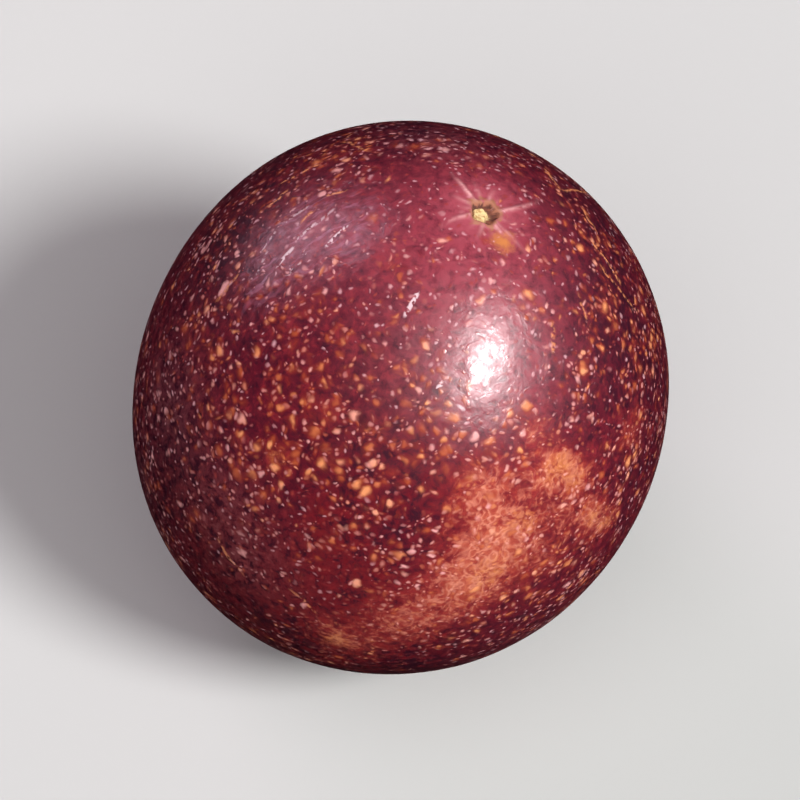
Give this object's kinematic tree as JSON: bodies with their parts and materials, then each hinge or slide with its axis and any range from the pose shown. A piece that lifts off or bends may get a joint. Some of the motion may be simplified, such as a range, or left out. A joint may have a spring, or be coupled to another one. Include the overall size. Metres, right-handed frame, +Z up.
{
  "type": "passion fruit",
  "caption": "Whole ripe purple passion fruit: a slightly long ovoid with a waxy speckled rind and a small puckered stem scar, leaning a little on the flat spot it rests on.",
  "frame": {"origin": "on the surface the fruit stands on, under the middle of its box", "axes": "+Z up, away from the flat spot; the fruit's own axis runs from the blossom tip, below, to the stem scar, above, and leans 21 degrees from +Z, towards a heading 39.5 degrees from +X to +Y"},
  "size_m": [0.0586, 0.0582, 0.0643],
  "materials": {
    "rind": "satin"
  },
  "bodies": {
    "root": {"passion_fruit": "rind"}
  },
  "joints": []
}
